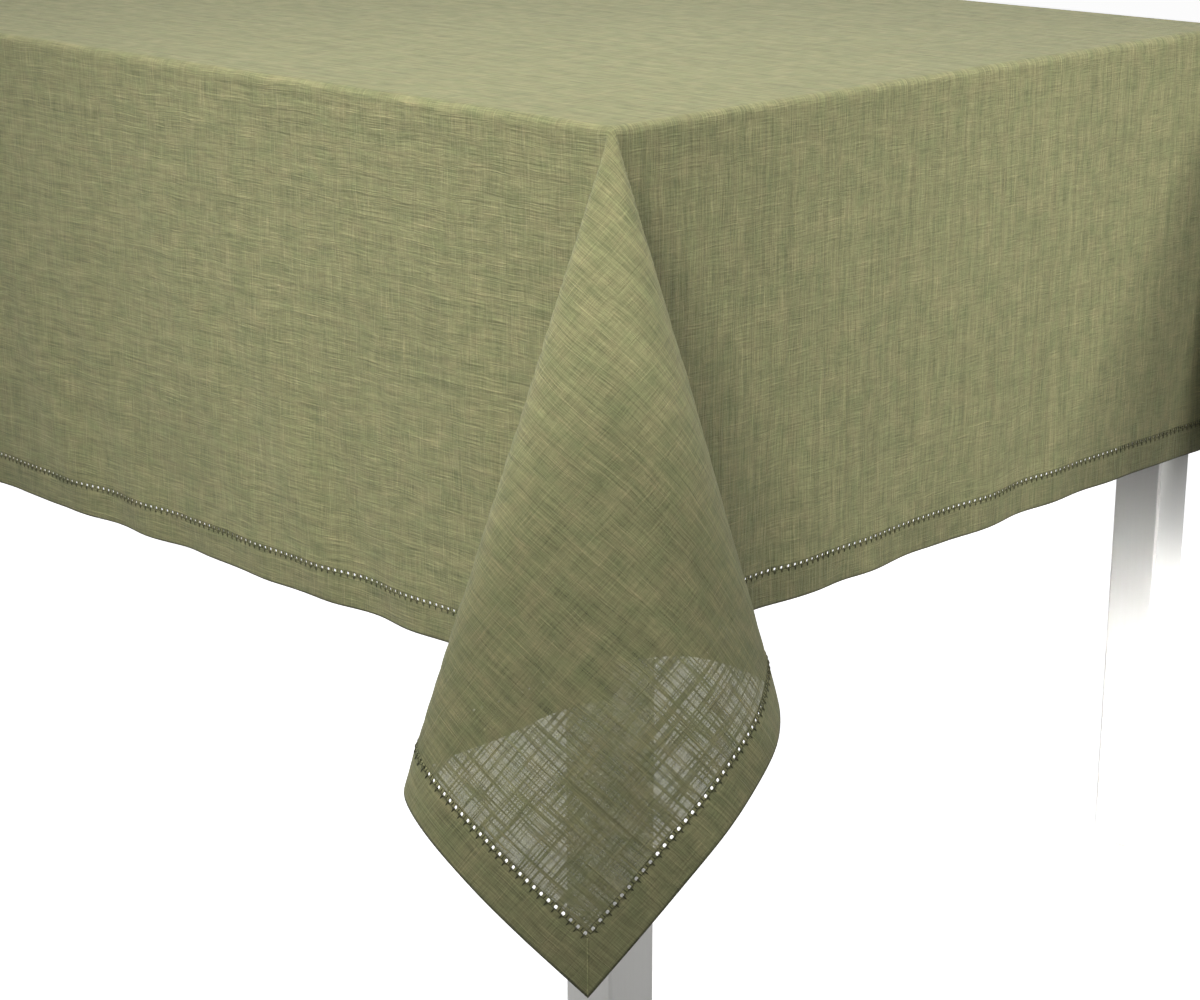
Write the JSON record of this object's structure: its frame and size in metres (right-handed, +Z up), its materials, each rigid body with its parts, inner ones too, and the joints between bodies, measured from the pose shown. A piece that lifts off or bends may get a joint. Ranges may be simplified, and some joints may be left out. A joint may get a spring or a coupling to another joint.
{
  "type": "tablecloth on a table",
  "caption": "Rectangular hemstitched linen tablecloth lying on a dining table, hanging in straight drops with a rolled fold at each corner.",
  "frame": {"origin": "on the floor, under the middle of the table top", "axes": "+X along the table's length, +Y towards the back, +Z up"},
  "size_m": [1.7774, 1.1475, 0.7514],
  "materials": {
    "linen": "matt slubby plain weave",
    "linen_hem": "matt slubby plain weave, doubled",
    "hemstitching": "thread bundles in an open drawn-thread row",
    "painted_wood": "satin white paint",
    "bare_wood": "planed, unpainted",
    "zinc_steel": "bright zinc plate",
    "glide_plastic": "moulded"
  },
  "bodies": {
    "table": {"table_top": "painted_wood", "apron_front": "painted_wood", "apron_back": "painted_wood", "apron_left": "painted_wood", "apron_right": "painted_wood", "leg_front_right": "painted_wood", "leg_front_left": "painted_wood", "leg_back_right": "painted_wood", "leg_back_left": "painted_wood", "corner_brace_front_right": "bare_wood", "corner_brace_front_left": "bare_wood", "corner_brace_back_right": "bare_wood", "corner_brace_back_left": "bare_wood", "hanger_bolts": "zinc_steel", "washers": "zinc_steel", "wing_nuts": "zinc_steel", "top_clips": "zinc_steel", "clip_screws": "zinc_steel", "foot_glide_front_right": "glide_plastic", "foot_glide_front_left": "glide_plastic", "foot_glide_back_right": "glide_plastic", "foot_glide_back_left": "glide_plastic"},
    "cloth": {"cloth_top": "linen", "cloth_drop_front": "linen", "cloth_drop_back": "linen", "cloth_drop_left": "linen", "cloth_drop_right": "linen", "hemstitch_front": "hemstitching", "hemstitch_back": "hemstitching", "hemstitch_left": "hemstitching", "hemstitch_right": "hemstitching", "hem_front": "linen_hem", "hem_back": "linen_hem", "hem_left": "linen_hem", "hem_right": "linen_hem", "corner_fold_front_right": "linen", "corner_fold_front_left": "linen", "corner_fold_back_right": "linen", "corner_fold_back_left": "linen", "corner_hemstitch_front_right": "hemstitching", "corner_hemstitch_front_left": "hemstitching", "corner_hemstitch_back_right": "hemstitching", "corner_hemstitch_back_left": "hemstitching", "corner_hem_front_right": "linen_hem", "corner_hem_front_left": "linen_hem", "corner_hem_back_right": "linen_hem", "corner_hem_back_left": "linen_hem"}
  },
  "joints": [
    {"name": "cloth_lift", "type": "slide", "parent": "table", "child": "cloth", "axis": [0, 0, 1], "range_m": [0, 0.5]}
  ]
}
